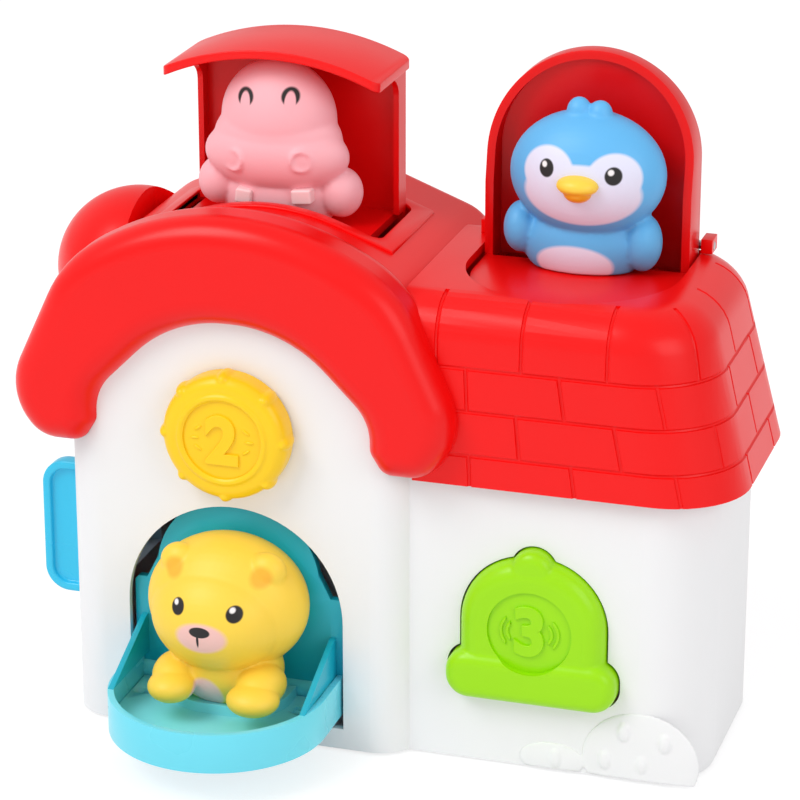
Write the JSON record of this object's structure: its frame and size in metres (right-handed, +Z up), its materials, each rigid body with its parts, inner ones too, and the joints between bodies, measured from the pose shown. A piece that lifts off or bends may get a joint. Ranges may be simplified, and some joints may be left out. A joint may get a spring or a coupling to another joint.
{
  "type": "pop up animal toy",
  "caption": "Play house with red roofs, pop-up lion, hippo and penguin, twist knob, bell button and side slider.",
  "frame": {"origin": "on the ground below the middle of the white body", "axes": "+Z up, the front faces -Y, +X to the right of someone who faces the front"},
  "size_m": [0.268, 0.1698, 0.2355],
  "materials": {
    "white": "satin white moulded shell",
    "red": "glossy red moulded roof",
    "light_cyan": "glossy light blue tray",
    "cyan": "glossy deeper blue liner",
    "tab_cyan": "glossy blue tab",
    "yellow": "glossy yellow knob",
    "green": "glossy green button",
    "hippo_pink": "soft matt pink figure",
    "penguin_blue": "soft matt blue figure",
    "lion_yellow": "soft matt yellow figure",
    "rubber": "matt rubber foot",
    "steel": "plain steel pin, screw or spring wire"
  },
  "bodies": {
    "house": {"front_shell": "white", "rear_shell": "white", "base_plate": "white", "rubber_feet": "rubber", "case_screws": "steel", "main_roof": "red", "annex_roof": "red", "turret_wall": "white", "turret_roof": "red", "lion_hinge_pin": "steel", "lion_hinge_spring": "steel", "lift_rails": "steel", "lift_shelf": "white", "lift_spring": "steel", "penguin_hinge_pin": "steel", "penguin_hinge_spring": "steel", "hinge_blocks": "red", "knob_spring": "steel", "bell_guide": "white", "bell_spring": "steel", "slider_guide": "white", "slider_spring": "steel"},
    "lion_door": {"lion_tray": "light_cyan", "lion_liner": "cyan", "lion_back_panel": "cyan", "lion_figure": "lion_yellow"},
    "hippo_lift": {"hippo_lid": "red", "hippo_back_panel": "red", "hippo_floor": "red", "hippo_figure": "hippo_pink", "lift_shoes": "white"},
    "penguin_hatch": {"penguin_lid": "red", "penguin_floor": "red", "penguin_figure": "penguin_blue"},
    "knob": {"twist_knob": "yellow", "knob_disc": "yellow", "knob_shaft": "white", "knob_cam": "white"},
    "bell": {"bell_button": "green", "bell_disc": "green", "bell_plunger": "white"},
    "slider": {"slider_tab": "tab_cyan", "slider_carriage": "tab_cyan"}
  },
  "joints": [
    {"name": "lion_door_hinge", "type": "hinge", "parent": "house", "child": "lion_door", "pos_m": [-0.05025, -0.0425, 0.02], "axis": [-1, 0, 0], "range_deg": [0, 90], "stiffness_Nm_per_rad": 0.02, "springref_deg": -34.38},
    {"name": "hippo_lift_slide", "type": "slide", "parent": "house", "child": "hippo_lift", "axis": [0, 0, -1], "range_m": [0, 0.054], "stiffness_N_per_m": 30, "springref_m": -0.06, "deforming": ["lift_spring"]},
    {"name": "penguin_hatch_hinge", "type": "hinge", "parent": "house", "child": "penguin_hatch", "pos_m": [0.05475, 0.0315, 0.1679], "axis": [1, 0, 0], "range_deg": [0, 90], "stiffness_Nm_per_rad": 0.04, "springref_deg": -68.75},
    {"name": "knob_twist", "type": "hinge", "parent": "house", "child": "knob", "pos_m": [-0.05025, -0.0525, 0.1145], "axis": [0, 1, 0], "range_deg": [0, 60], "stiffness_Nm_per_rad": 0.02, "springref_deg": -17.19},
    {"name": "bell_press", "type": "slide", "parent": "house", "child": "bell", "axis": [0, 1, 0], "range_m": [0, 0.005], "stiffness_N_per_m": 300, "springref_m": -0.003, "deforming": ["bell_spring"]},
    {"name": "slider_push", "type": "slide", "parent": "house", "child": "slider", "axis": [0, 1, 0], "range_m": [0, 0.016], "stiffness_N_per_m": 100, "springref_m": -0.006, "deforming": ["slider_spring"]}
  ]
}
